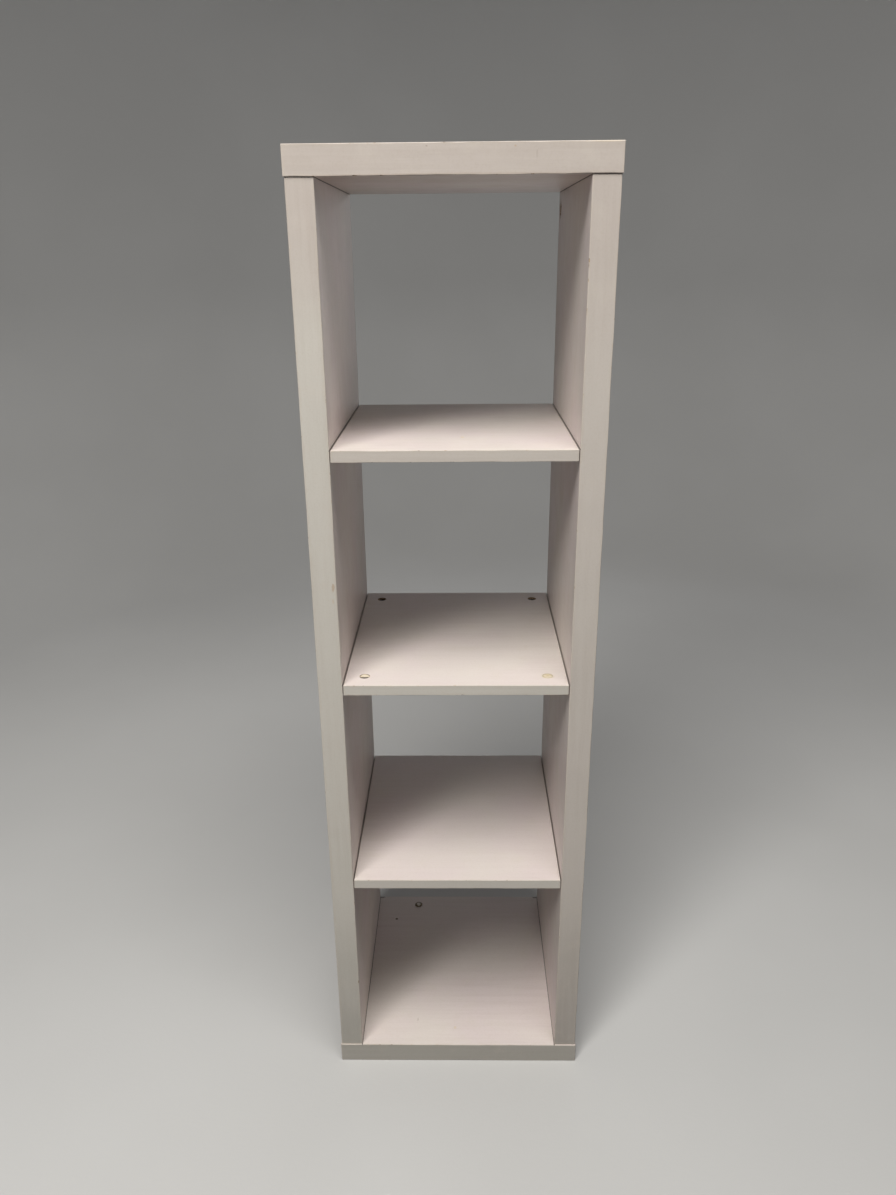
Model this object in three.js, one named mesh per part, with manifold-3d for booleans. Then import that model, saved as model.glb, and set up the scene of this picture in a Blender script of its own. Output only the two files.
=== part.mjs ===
// Narrow open-backed bookcase: four equal compartments in one column, a shelf that is locked in with
// cam fittings in the middle and a removable shelf on pins above and below it.
// Millimetres, +Z up, front towards -Y, origin on the floor under the centre of the case.

import * as THREE from 'three';
import { mergeVertices } from 'three/addons/utils/BufferGeometryUtils.js';
import Module from 'manifold-3d';

const wasm = await Module();
wasm.setup();

// ---- driving dimensions ----

const caseWidth = 412;
const caseDepth = 390;
const endBoardThickness = 36;
const sideThickness = 36;
const shelfThickness = 16;
const clearHeight = 335;
const shelfNames = ['lower', 'middle', 'upper'];

const endOverhang = 1.5; // the top and bottom boards reach past the outer faces of the sides
const faceSetback = 1.5; // sides and shelves stand back from the front and rear of the end boards
const shelfEndGap = 1.25;
const seatGap = 0.2; // between a shelf and the flats of its pins
const fitGap = 0.3; // round every fitting in its hole

const roundSegments = 12; // hidden fittings and their holes
const roundFaceSegments = 20; // fittings whose round face shows or turns

// ---- sizes worked out from them ----

const compartmentCount = shelfNames.length + 1;
const sideHeight = compartmentCount * clearHeight + shelfNames.length * shelfThickness;
const caseHeight = sideHeight + 2 * endBoardThickness;
const sideDepth = caseDepth - 2 * faceSetback;
const sideCentreX = caseWidth / 2 - endOverhang - sideThickness / 2;
const innerFaceX = sideCentreX - sideThickness / 2;
const shelfLength = 2 * (innerFaceX - shelfEndGap);

const shelfPitch = clearHeight + shelfThickness;
const shelfTops = Object.fromEntries(
  shelfNames.map((name, index) => [name, endBoardThickness + (index + 1) * shelfPitch]),
);

const sides = [['left', -1], ['right', 1]];
const ends = [['front', -1], ['rear', 1]];

// ---- fittings ----

const cornerScrew = {
  headRadius: 6,
  headHeight: 4,
  shankRadius: 3.4,
  length: 76,
  tipLength: 6,
  socketRadius: 2.9,
  socketDepth: 3,
};
const screwFromFace = 62;
const dowel = { radius: 4, length: 36, chamfer: 1 };
const dowelFromFace = 30;
const holeSpareDepth = 1;

const pin = { stemRadius: 2.5, stemLength: 10, headRadius: 3.5, headLength: 9, flatHeight: 2.6 };
const pinFromFace = 40;

const cam = {
  radius: 7.4,
  height: 9.9,
  hollowRadius: 5.2,
  hollowHeight: 7.6,
  slitHeight: 5.2,
  turnDegrees: 150,
};
const camHoleDepth = 13;
const camFromEnd = 29;
const camFromFace = 32;
const camSlot = { length: 9, width: 1.6 };
const camBolt = {
  threadRadius: 3,
  threadLength: 12,
  sleeveRadius: 3.6,
  neckRadius: 2.2,
  headRadius: 3.3,
  headLength: 3,
};
const boltHoleRadius = 4;
const cap = { radius: 7.3, thickness: 0.9 };

const addedScrew = { x: -85, fromRear: 26, headRadius: 4, headHeight: 2.4, shankRadius: 2, length: 26 };
const addedWasher = { outerRadius: 7.5, innerRadius: 2.4, thickness: 1 };
const pilotHole = { x: -129, fromRear: 70, radius: 1.8, depth: 18 };
const tornHole = { fromRear: 24, belowTop: 27, depth: 5 };

// ---- colours and finishes ----

const finishes = {
  foil: { color: 0xd9cfc4, roughness: 0.5, metalness: 0 },
  zinc: { color: 0x8c8a86, roughness: 0.45, metalness: 1 },
  steel: { color: 0xb4b2ae, roughness: 0.3, metalness: 1 },
  beech: { color: 0xc9a878, roughness: 0.7, metalness: 0 },
  plastic: { color: 0xe8e0d2, roughness: 0.4, metalness: 0 },
};

const group = new THREE.Group();

function addPiece(name, solid, finish) {
  const mesh = new THREE.Mesh(toGeometry(solid), new THREE.MeshStandardMaterial(finishes[finish]));
  mesh.name = name;
  group.add(mesh);
}

// ---- closed solids from three.js geometry ----

function toSolid(geometry, matrix = new THREE.Matrix4()) {
  const bare = geometry.clone();
  bare.deleteAttribute('normal');
  bare.deleteAttribute('uv');
  const merged = mergeVertices(bare);
  merged.applyMatrix4(matrix);
  return new wasm.Manifold(new wasm.Mesh({
    numProp: 3,
    vertProperties: new Float32Array(merged.attributes.position.array),
    triVerts: new Uint32Array(merged.index.array),
  }));
}

function toGeometry(solid) {
  const mesh = solid.getMesh();
  const geometry = new THREE.BufferGeometry();
  geometry.setAttribute('position', new THREE.BufferAttribute(mesh.vertProperties, 3));
  geometry.setIndex(new THREE.BufferAttribute(mesh.triVerts, 1));
  geometry.computeVertexNormals();
  return geometry;
}

function boxBetween(low, high) {
  const size = high.map((value, axis) => value - low[axis]);
  const centre = high.map((value, axis) => (value + low[axis]) / 2);
  return toSolid(new THREE.BoxGeometry(...size), new THREE.Matrix4().makeTranslation(...centre));
}

// A solid of revolution. The profile is a list of [radius, distance along the axis]; it starts and
// ends on the axis. direction is where the distance grows to, from the point at.
function turned(profile, at, direction, segments = roundSegments) {
  const points = profile.map(([radius, along]) => new THREE.Vector2(radius, along));
  const turn = new THREE.Quaternion().setFromUnitVectors(
    new THREE.Vector3(0, 1, 0),
    new THREE.Vector3(...direction),
  );
  const place = new THREE.Matrix4().compose(
    new THREE.Vector3(...at),
    turn,
    new THREE.Vector3(1, 1, 1),
  );
  return toSolid(new THREE.LatheGeometry(points, segments), place);
}

function rod(radius, length, at, direction, segments = roundSegments) {
  return turned([[0, 0], [radius, 0], [radius, length], [0, length]], at, direction, segments);
}

function subtractAll(solid, cutters) {
  return cutters.reduce((left, cutter) => left.subtract(cutter), solid);
}

// ---- places of the repeated fittings ----

// One entry for each corner joint of an end board with a side: the board's outer face, the plane
// where board and side meet, and the direction from the outer face into the side.
const cornerJoints = [];
for (const [sideName, sideSign] of sides) {
  for (const [board, outer, inward] of [['bottom', 0, 1], ['top', caseHeight, -1]]) {
    cornerJoints.push({
      name: `${board}_${sideName}`,
      board,
      sideName,
      x: sideSign * sideCentreX,
      outer,
      inward,
      seam: outer + inward * endBoardThickness,
    });
  }
}

const removableShelves = ['lower', 'upper'];
const lockedShelf = 'middle';
const boltAxisZ = shelfTops[lockedShelf] - shelfThickness / 2;

const shelfPins = [];
for (const shelfName of removableShelves) {
  for (const [sideName, sideSign] of sides) {
    for (const [endName, endSign] of ends) {
      shelfPins.push({
        name: `pin_${shelfName}_${sideName}_${endName}`,
        sideName,
        inward: -sideSign,
        x: sideSign * innerFaceX,
        y: endSign * (sideDepth / 2 - pinFromFace),
        z: shelfTops[shelfName] - shelfThickness - seatGap - pin.flatHeight,
      });
    }
  }
}

const camPlaces = [];
for (const [sideName, sideSign] of sides) {
  for (const [endName, endSign] of ends) {
    camPlaces.push({
      name: `${endName}_${sideName}`,
      sideName,
      sideSign,
      x: sideSign * (shelfLength / 2 - camFromEnd),
      y: endSign * (sideDepth / 2 - camFromFace),
    });
  }
}

// ---- boards ----

function cornerCutters(joint) {
  const cutters = [];
  for (const [, endSign] of ends) {
    const screwY = endSign * (caseDepth / 2 - screwFromFace);
    const dowelY = endSign * (caseDepth / 2 - dowelFromFace);
    const clearRadius = cornerScrew.shankRadius + fitGap;
    const headRadius = cornerScrew.headRadius + fitGap;
    const headDepth = cornerScrew.headHeight + fitGap;
    const screwDepth = cornerScrew.length + 2 * holeSpareDepth;
    const dowelDepth = dowel.length + 2 * holeSpareDepth;
    const direction = [0, 0, joint.inward];
    const above = joint.outer - joint.inward * holeSpareDepth;
    const dowelStart = joint.seam - joint.inward * dowelDepth / 2;
    cutters.push(rod(clearRadius, screwDepth, [joint.x, screwY, above], direction));
    cutters.push(rod(headRadius, headDepth + holeSpareDepth, [joint.x, screwY, above], direction));
    cutters.push(rod(dowel.radius + fitGap, dowelDepth, [joint.x, dowelY, dowelStart], direction));
  }
  return cutters;
}

function endBoard(boardName) {
  const low = boardName === 'top' ? caseHeight - endBoardThickness : 0;
  const board = boxBetween(
    [-caseWidth / 2, -caseDepth / 2, low],
    [caseWidth / 2, caseDepth / 2, low + endBoardThickness],
  );
  const joints = cornerJoints.filter((joint) => joint.board === boardName);
  return subtractAll(board, joints.flatMap(cornerCutters));
}

function bottomBoard() {
  const surface = endBoardThickness;
  const screwPlace = [addedScrew.x, caseDepth / 2 - addedScrew.fromRear, surface + holeSpareDepth];
  const pilotPlace = [pilotHole.x, caseDepth / 2 - pilotHole.fromRear, surface + holeSpareDepth];
  const down = [0, 0, -1];
  return subtractAll(endBoard('bottom'), [
    rod(addedScrew.shankRadius + fitGap, addedScrew.length + 2 * holeSpareDepth, screwPlace, down),
    rod(pilotHole.radius, pilotHole.depth + holeSpareDepth, pilotPlace, down),
  ]);
}

// The place where a fixing has been pulled out of the side: a ragged shallow pocket, higher than wide.
function tornPocket() {
  const outline = new THREE.Shape([
    [-2, -11], [2.5, -9], [3.5, -3], [5.5, 0], [4, 6], [1.5, 11], [-2.5, 9], [-4.5, 2], [-3, -4],
  ].map(([across, up]) => new THREE.Vector2(across, up)));
  const depth = tornHole.depth + holeSpareDepth;
  const block = new THREE.ExtrudeGeometry(outline, { depth, bevelEnabled: false });
  const y = sideDepth / 2 - tornHole.fromRear;
  const z = caseHeight - endBoardThickness - tornHole.belowTop;
  const place = new THREE.Matrix4().makeBasis(
    new THREE.Vector3(0, 1, 0),
    new THREE.Vector3(0, 0, 1),
    new THREE.Vector3(1, 0, 0),
  );
  place.setPosition(innerFaceX - holeSpareDepth, y, z);
  return toSolid(block, place);
}

function sideBoard(sideName, sideSign) {
  const x = sideSign * sideCentreX;
  const board = boxBetween(
    [x - sideThickness / 2, -sideDepth / 2, endBoardThickness],
    [x + sideThickness / 2, sideDepth / 2, caseHeight - endBoardThickness],
  );
  const outward = [sideSign, 0, 0];
  const mouthX = sideSign * (innerFaceX - holeSpareDepth);
  const cutters = cornerJoints.filter((joint) => joint.sideName === sideName).flatMap(cornerCutters);
  for (const place of shelfPins.filter((item) => item.sideName === sideName)) {
    const depth = pin.stemLength + 2 * holeSpareDepth;
    cutters.push(rod(pin.stemRadius + fitGap, depth, [mouthX, place.y, place.z], outward));
  }
  for (const place of camPlaces.filter((item) => item.sideName === sideName)) {
    const depth = camBolt.threadLength + 2 * holeSpareDepth;
    cutters.push(rod(camBolt.threadRadius + fitGap, depth, [mouthX, place.y, boltAxisZ], outward));
  }
  if (sideName === 'right') {
    cutters.push(tornPocket());
  }
  return subtractAll(board, cutters);
}

function shelfBoard(shelfName) {
  const top = shelfTops[shelfName];
  return boxBetween(
    [-shelfLength / 2, -sideDepth / 2, top - shelfThickness],
    [shelfLength / 2, sideDepth / 2, top],
  );
}

// The locked shelf has a round pocket for each cam, and a bore from the shelf's end for its bolt.
function lockedShelfBoard() {
  const top = shelfTops[lockedShelf];
  const cutters = [];
  for (const place of camPlaces) {
    const camMouth = [place.x, place.y, top + holeSpareDepth];
    const boltMouth = [place.sideSign * (shelfLength / 2 + holeSpareDepth), place.y, boltAxisZ];
    const camDepth = camHoleDepth + holeSpareDepth;
    cutters.push(rod(cam.radius + fitGap, camDepth, camMouth, [0, 0, -1], roundFaceSegments));
    cutters.push(rod(boltHoleRadius, camFromEnd + holeSpareDepth, boltMouth, [-place.sideSign, 0, 0]));
  }
  return subtractAll(shelfBoard(lockedShelf), cutters);
}

// ---- corner screws and dowels ----

function cornerScrewSolid(joint, y) {
  const direction = [0, 0, joint.inward];
  const headSink = 0.2;
  const profile = [
    [0, 0],
    [cornerScrew.headRadius, 0],
    [cornerScrew.headRadius, cornerScrew.headHeight - headSink],
    [cornerScrew.shankRadius, cornerScrew.headHeight - headSink],
    [cornerScrew.shankRadius, cornerScrew.length - cornerScrew.tipLength],
    [cornerScrew.shankRadius / 2, cornerScrew.length],
    [0, cornerScrew.length],
  ];
  const start = joint.outer + joint.inward * headSink;
  const body = turned(profile, [joint.x, y, start], direction);
  const socketStart = joint.outer - joint.inward * holeSpareDepth;
  const socketDepth = cornerScrew.socketDepth + holeSpareDepth;
  const hexSides = 6;
  const socket = rod(cornerScrew.socketRadius, socketDepth, [joint.x, y, socketStart], direction, hexSides);
  return body.subtract(socket);
}

function dowelSolid(joint, y) {
  const profile = [
    [0, 0],
    [dowel.radius - dowel.chamfer, 0],
    [dowel.radius, dowel.chamfer],
    [dowel.radius, dowel.length - dowel.chamfer],
    [dowel.radius - dowel.chamfer, dowel.length],
    [0, dowel.length],
  ];
  const start = joint.seam - joint.inward * dowel.length / 2;
  return turned(profile, [joint.x, y, start], [0, 0, joint.inward]);
}

// ---- shelf pins ----

function pinSolid(place) {
  const inward = [place.inward, 0, 0];
  const stemStart = [place.x - place.inward * pin.stemLength, place.y, place.z];
  const headEdge = 0.8;
  const profile = [
    [0, 0],
    [pin.stemRadius, 0],
    [pin.stemRadius, pin.stemLength],
    [pin.headRadius, pin.stemLength],
    [pin.headRadius, pin.stemLength + pin.headLength - headEdge],
    [pin.headRadius - headEdge, pin.stemLength + pin.headLength],
    [0, pin.stemLength + pin.headLength],
  ];
  const reach = pin.stemLength + pin.headLength;
  const flat = boxBetween(
    [place.x - reach, place.y - 2 * pin.headRadius, place.z + pin.flatHeight],
    [place.x + reach, place.y + 2 * pin.headRadius, place.z + 2 * pin.headRadius],
  );
  return turned(profile, stemStart, inward).subtract(flat);
}

// ---- cam fittings ----

// A slice of a disc round +Z, between two angles in degrees, centred on the height zero.
function sector(radius, fromDegrees, toDegrees, height) {
  const shape = new THREE.Shape();
  shape.moveTo(0, 0);
  shape.absarc(0, 0, radius, fromDegrees * Math.PI / 180, toDegrees * Math.PI / 180, false);
  shape.lineTo(0, 0);
  const curveSegments = 16;
  const slice = new THREE.ExtrudeGeometry(shape, { depth: height, bevelEnabled: false, curveSegments });
  return toSolid(slice, new THREE.Matrix4().makeTranslation(0, 0, -height / 2));
}

// The cam holds the bolt's head in its hollow. The slit lets the bolt's neck through the wall while the
// cam turns, and the window at the slit's end is where the head goes in and out.
function camSolid(place) {
  const slitMargin = 32;
  const windowMargin = 46;
  const outside = cam.radius * 1.5;
  const top = shelfTops[lockedShelf] - camHoleDepth + cam.height;
  const bottom = top - cam.height + seatGap;
  const up = [0, 0, 1];
  const hollowStart = [0, 0, -cam.hollowHeight / 2];
  const body = rod(cam.radius, top - bottom, [0, 0, bottom - boltAxisZ], up, roundFaceSegments);
  const hollow = rod(cam.hollowRadius, cam.hollowHeight, hollowStart, up, roundFaceSegments);
  const slit = sector(outside, -cam.turnDegrees - windowMargin, slitMargin, cam.slitHeight);
  const openMiddle = -cam.turnDegrees;
  const openWindow = sector(
    outside,
    openMiddle - windowMargin,
    openMiddle + windowMargin,
    cam.hollowHeight,
  );
  const slotLow = cam.hollowHeight / 2 - 1;
  const slotHigh = top - boltAxisZ + holeSpareDepth;
  const halfLength = camSlot.length / 2;
  const halfWidth = camSlot.width / 2;
  const cross = boxBetween([-halfLength, -halfWidth, slotLow], [halfLength, halfWidth, slotHigh])
    .add(boxBetween([-halfWidth, -halfLength, slotLow], [halfWidth, halfLength, slotHigh]));
  const towardsBolt = place.sideSign > 0 ? 0 : 180;
  return subtractAll(body, [hollow, slit, openWindow, cross])
    .rotate([0, 0, towardsBolt])
    .translate([place.x, place.y, boltAxisZ]);
}

function camBoltSolid(place) {
  const reach = camFromEnd + shelfEndGap;
  const neckStart = reach - cam.radius - fitGap;
  const headStart = reach - camBolt.headLength * 2 / 3;
  const threadEnd = camBolt.threadLength;
  const profile = [
    [0, 0],
    [camBolt.threadRadius, 0],
    [camBolt.threadRadius, threadEnd],
    [camBolt.sleeveRadius, threadEnd],
    [camBolt.sleeveRadius, threadEnd + neckStart - fitGap],
    [camBolt.neckRadius, threadEnd + neckStart - fitGap],
    [camBolt.neckRadius, threadEnd + headStart],
    [camBolt.headRadius, threadEnd + headStart],
    [camBolt.headRadius, threadEnd + headStart + camBolt.headLength],
    [0, threadEnd + headStart + camBolt.headLength],
  ];
  const start = [place.sideSign * (innerFaceX + camBolt.threadLength), place.y, boltAxisZ];
  return turned(profile, start, [-place.sideSign, 0, 0]);
}

// The front cams are covered. The left cap has been pushed down onto its cam, the right one is flush.
function capSolid(place) {
  const surface = shelfTops[lockedShelf];
  const camTop = surface - camHoleDepth + cam.height;
  const bottom = place.sideName === 'left' ? camTop + seatGap : surface - cap.thickness;
  return rod(cap.radius, cap.thickness, [place.x, place.y, bottom], [0, 0, 1], roundFaceSegments);
}

// ---- the screw and washer that were added in the bottom compartment ----

const addedScrewY = caseDepth / 2 - addedScrew.fromRear;

function addedWasherSolid() {
  const { outerRadius, innerRadius, thickness } = addedWasher;
  const base = [addedScrew.x, addedScrewY, endBoardThickness];
  const ring = rod(outerRadius, thickness, base, [0, 0, 1], roundFaceSegments);
  const holeStart = [addedScrew.x, addedScrewY, endBoardThickness - holeSpareDepth];
  return ring.subtract(rod(innerRadius, thickness + 2 * holeSpareDepth, holeStart, [0, 0, 1]));
}

function addedScrewSolid() {
  const tip = 4;
  const { headRadius, headHeight, shankRadius, length } = addedScrew;
  const profile = [
    [0, 0],
    [headRadius * 0.6, 0],
    [headRadius * 0.93, headHeight * 0.35],
    [headRadius, headHeight],
    [shankRadius, headHeight],
    [shankRadius, headHeight + length - tip],
    [0, headHeight + length],
  ];
  const headTop = endBoardThickness + addedWasher.thickness + headHeight;
  const body = turned(profile, [addedScrew.x, addedScrewY, headTop], [0, 0, -1]);
  const slotLength = headRadius * 0.62;
  const slotWidth = 0.5;
  const slotDepth = 1.4;
  const low = headTop - slotDepth;
  const high = headTop + holeSpareDepth;
  const longSlot = boxBetween(
    [addedScrew.x - slotLength, addedScrewY - slotWidth, low],
    [addedScrew.x + slotLength, addedScrewY + slotWidth, high],
  );
  const crossSlot = boxBetween(
    [addedScrew.x - slotWidth, addedScrewY - slotLength, low],
    [addedScrew.x + slotWidth, addedScrewY + slotLength, high],
  );
  return subtractAll(body, [longSlot, crossSlot]);
}

// ---- assembly ----

addPiece('top_panel', endBoard('top'), 'foil');
addPiece('bottom_panel', bottomBoard(), 'foil');
for (const [sideName, sideSign] of sides) {
  addPiece(`${sideName}_side_panel`, sideBoard(sideName, sideSign), 'foil');
}
for (const shelfName of removableShelves) {
  addPiece(`${shelfName}_shelf`, shelfBoard(shelfName), 'foil');
}
addPiece(`${lockedShelf}_shelf`, lockedShelfBoard(), 'foil');

for (const joint of cornerJoints) {
  for (const [endName, endSign] of ends) {
    const screwY = endSign * (caseDepth / 2 - screwFromFace);
    const dowelY = endSign * (caseDepth / 2 - dowelFromFace);
    addPiece(`corner_screw_${joint.name}_${endName}`, cornerScrewSolid(joint, screwY), 'steel');
    addPiece(`dowel_${joint.name}_${endName}`, dowelSolid(joint, dowelY), 'beech');
  }
}

for (const place of shelfPins) {
  addPiece(place.name, pinSolid(place), 'steel');
}

for (const place of camPlaces) {
  addPiece(`cam_${place.name}`, camSolid(place), 'zinc');
  addPiece(`cam_bolt_${place.name}`, camBoltSolid(place), 'steel');
  if (place.name.startsWith('front')) {
    addPiece(`cam_cap_${place.name}`, capSolid(place), 'plastic');
  }
}

addPiece('added_washer', addedWasherSolid(), 'steel');
addPiece('added_screw', addedScrewSolid(), 'steel');

export default group;
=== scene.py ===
"""The looks of the bookcase: foil-covered boards with worn edges, and the fittings that hold them.

Metres, +Z up, the front faces -Y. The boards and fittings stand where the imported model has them.
"""

import math
import random

import bmesh
import bpy
from mathutils import Euler, Matrix, Quaternion, Vector, noise


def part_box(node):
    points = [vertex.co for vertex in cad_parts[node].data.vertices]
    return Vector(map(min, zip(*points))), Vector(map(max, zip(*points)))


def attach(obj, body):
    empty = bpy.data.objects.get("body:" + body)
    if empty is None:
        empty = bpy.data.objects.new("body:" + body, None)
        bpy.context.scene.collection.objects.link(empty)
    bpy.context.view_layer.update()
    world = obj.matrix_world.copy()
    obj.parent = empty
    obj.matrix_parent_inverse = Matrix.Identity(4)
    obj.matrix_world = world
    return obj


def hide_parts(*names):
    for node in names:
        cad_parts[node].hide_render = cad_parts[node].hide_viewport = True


MM = 0.001
UP = (0.0, 0.0, 1.0)
DOWN = (0.0, 0.0, -1.0)

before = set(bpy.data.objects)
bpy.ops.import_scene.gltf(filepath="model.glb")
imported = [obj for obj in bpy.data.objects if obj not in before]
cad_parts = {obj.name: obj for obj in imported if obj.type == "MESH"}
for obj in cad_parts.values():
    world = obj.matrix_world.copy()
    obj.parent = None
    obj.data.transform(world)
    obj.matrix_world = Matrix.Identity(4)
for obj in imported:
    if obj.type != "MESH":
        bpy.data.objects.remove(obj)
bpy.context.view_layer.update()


# ---- node materials ----


class Nodes:
    """A material's node tree, with short calls for the nodes that the materials here use."""

    def __init__(self, name):
        self.material = bpy.data.materials.new(name)
        self.material.use_nodes = True
        self.tree = self.material.node_tree
        self.tree.nodes.clear()
        self.shader = self.add("ShaderNodeBsdfPrincipled")
        output = self.add("ShaderNodeOutputMaterial")
        self.tree.links.new(self.shader.outputs["BSDF"], output.inputs["Surface"])
        self.place = self.add("ShaderNodeTexCoord").outputs["Object"]
        _, self.depth, self.height = self.split(self.place)

    def add(self, kind, **settings):
        node = self.tree.nodes.new(kind)
        for key, value in settings.items():
            setattr(node, key, value)
        return node

    def feed(self, socket, value):
        if isinstance(value, bpy.types.NodeSocket):
            self.tree.links.new(value, socket)
        elif value is not None:
            socket.default_value = value

    def split(self, vector):
        node = self.add("ShaderNodeSeparateXYZ")
        self.feed(node.inputs[0], vector)
        return node.outputs

    def math(self, operation, a, b=None, c=None):
        node = self.add("ShaderNodeMath", operation=operation)
        for socket, value in zip(node.inputs, (a, b, c)):
            self.feed(socket, value)
        return node.outputs[0]

    def vector(self, operation, a, b=None):
        node = self.add("ShaderNodeVectorMath", operation=operation)
        for socket, value in zip(node.inputs, (a, b)):
            self.feed(socket, value)
        return node.outputs["Value" if operation == "LENGTH" else "Vector"]

    def stretched(self, scales):
        return self.vector("MULTIPLY", self.place, Vector(scales))

    def noise(self, place, scale, detail=2.0, roughness=0.5, distortion=0.0):
        node = self.add("ShaderNodeTexNoise")
        self.feed(node.inputs["Vector"], place)
        node.inputs["Scale"].default_value = scale
        node.inputs["Detail"].default_value = detail
        node.inputs["Roughness"].default_value = roughness
        node.inputs["Distortion"].default_value = distortion
        return node.outputs["Fac"]

    def cells(self, place, scale):
        node = self.add("ShaderNodeTexVoronoi")
        self.feed(node.inputs["Vector"], place)
        node.inputs["Scale"].default_value = scale
        return node

    def fade(self, value, start, end, low=0.0, high=1.0):
        """low where value is at start, high where it is at end, and smooth between them."""
        node = self.add("ShaderNodeMapRange", interpolation_type="SMOOTHSTEP")
        self.feed(node.inputs["Value"], value)
        for key, number in zip(("From Min", "From Max", "To Min", "To Max"), (start, end, low, high)):
            node.inputs[key].default_value = number
        return node.outputs["Result"]

    def mix(self, factor, a, b, blend="MIX"):
        node = self.add("ShaderNodeMix", data_type="RGBA", blend_type=blend)
        sockets = {socket.identifier: socket for socket in node.inputs}
        self.feed(sockets["Factor_Float"], factor)
        self.feed(sockets["A_Color"], opaque(a))
        self.feed(sockets["B_Color"], opaque(b))
        return next(socket for socket in node.outputs if socket.identifier == "Result_Color")

    def bump(self, height, distance, under=None):
        node = self.add("ShaderNodeBump")
        node.inputs["Distance"].default_value = distance
        self.feed(node.inputs["Height"], height)
        self.feed(node.inputs["Normal"], under)
        return node.outputs["Normal"]

    def finish(self, colour, roughness, normal, metallic=0.0):
        self.feed(self.shader.inputs["Base Color"], opaque(colour))
        self.feed(self.shader.inputs["Roughness"], roughness)
        self.feed(self.shader.inputs["Normal"], normal)
        self.shader.inputs["Metallic"].default_value = metallic
        return self.material


def opaque(colour):
    if isinstance(colour, bpy.types.NodeSocket):
        return colour
    return (*colour[:3], 1.0)


# base colours: the foil, the bands glued on the boards' front and rear edges, dirt, painted shade and
# raw board
FOIL = (0.7, 0.638, 0.588)
FOIL_ROSE = (0.692, 0.607, 0.584)
FOIL_AGED = (0.665, 0.602, 0.525)
BAND_GREY = (0.665, 0.63, 0.56)
BAND_PALE = (0.63, 0.575, 0.515)
BAND_ROSE = (0.575, 0.51, 0.455)
GRIME = (0.36, 0.29, 0.235)
# painted shade: very dark, for seams, inner corners, holes and the shadow under a cap's near rim
DARK_PAINTED_SHADE = (0.055, 0.042, 0.034)
# painted shade along the boards' rear edges
REAR_PAINTED_SHADE = (0.4, 0.31, 0.245)
CHIP_LIGHT = (0.5, 0.37, 0.235)
CHIP_DARK = (0.2, 0.125, 0.07)
CHIP_DUST = (0.58, 0.47, 0.34)
RUBBED_EDGE = (0.6, 0.53, 0.44)

# colours of single marks
YELLOWED_ARRIS = (0.64, 0.54, 0.39)
# painted shade on the underside of the top
UNDERSIDE_PAINTED_SHADE = (0.48, 0.385, 0.32)
BOTTOM_SPOT = (0.62, 0.5, 0.3)
STAIN = (0.5, 0.36, 0.24)
STAIN_PALE = (0.58, 0.46, 0.33)
TORN_BOARD = (0.24, 0.16, 0.1)
SHELF_SPOT = (0.68, 0.52, 0.2)
RUBBED_RING = (0.62, 0.54, 0.37)
CAP_DIRT = (0.44, 0.36, 0.2)

# multiplied over a colour to darken it a little
# painted shade on the edge bands towards the floor
LOW_BAND_PAINTED_SHADE = (0.74, 0.74, 0.73)
GRAIN_SHADE = (0.88, 0.86, 0.84)
FINE_GRAIN_SHADE = (0.93, 0.92, 0.9)
MOTTLE_SHADE = (0.9, 0.88, 0.84)

# heights, in metres, where the band turns rosy and where its painted shade towards the floor ends
ROSY_FROM, ROSY_FULL = 1.15, 1.42
PAINTED_SHADE_TOP = 0.42


def edge_distance(nodes, low, high):
    """How far a point on a board's surface is from the nearest edge of the board, in metres."""
    centre = (low + high) / 2
    half = (high - low) / 2
    from_centre = nodes.vector("ABSOLUTE", nodes.vector("SUBTRACT", nodes.place, centre))
    from_faces = nodes.vector("SUBTRACT", half, from_centre)
    x, y, z = nodes.split(from_faces)
    nearer = nodes.math("MINIMUM", x, y)
    farther = nodes.math("MAXIMUM", x, y)
    # on a face one of the three is nought, so the middle one of the three is the distance to an edge
    return nodes.math("MAXIMUM", nearer, nodes.math("MINIMUM", farther, z))


def front_or_rear(nodes, low, high):
    """One on the front and rear faces of a board, nought elsewhere."""
    from_middle = nodes.math("ABSOLUTE", nodes.math("SUBTRACT", nodes.depth, (low.y + high.y) / 2))
    half = (high.y - low.y) / 2
    return nodes.fade(from_middle, half - 0.6 * MM, half - 0.3 * MM)


def spot(nodes, at, size, softness=0.35):
    """One inside a ragged ellipsoid round a place, nought outside it."""
    offset = nodes.vector("SUBTRACT", nodes.place, Vector(at))
    scaled = nodes.vector("DIVIDE", offset, Vector(size))
    radius = nodes.vector("LENGTH", scaled)
    ragged = nodes.noise(nodes.place, 420.0, detail=3.0)
    wobble = nodes.math("MULTIPLY_ADD", ragged, 0.9, -0.45)
    return nodes.fade(nodes.math("ADD", radius, wobble), 1.0, 1.0 - softness)


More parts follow.
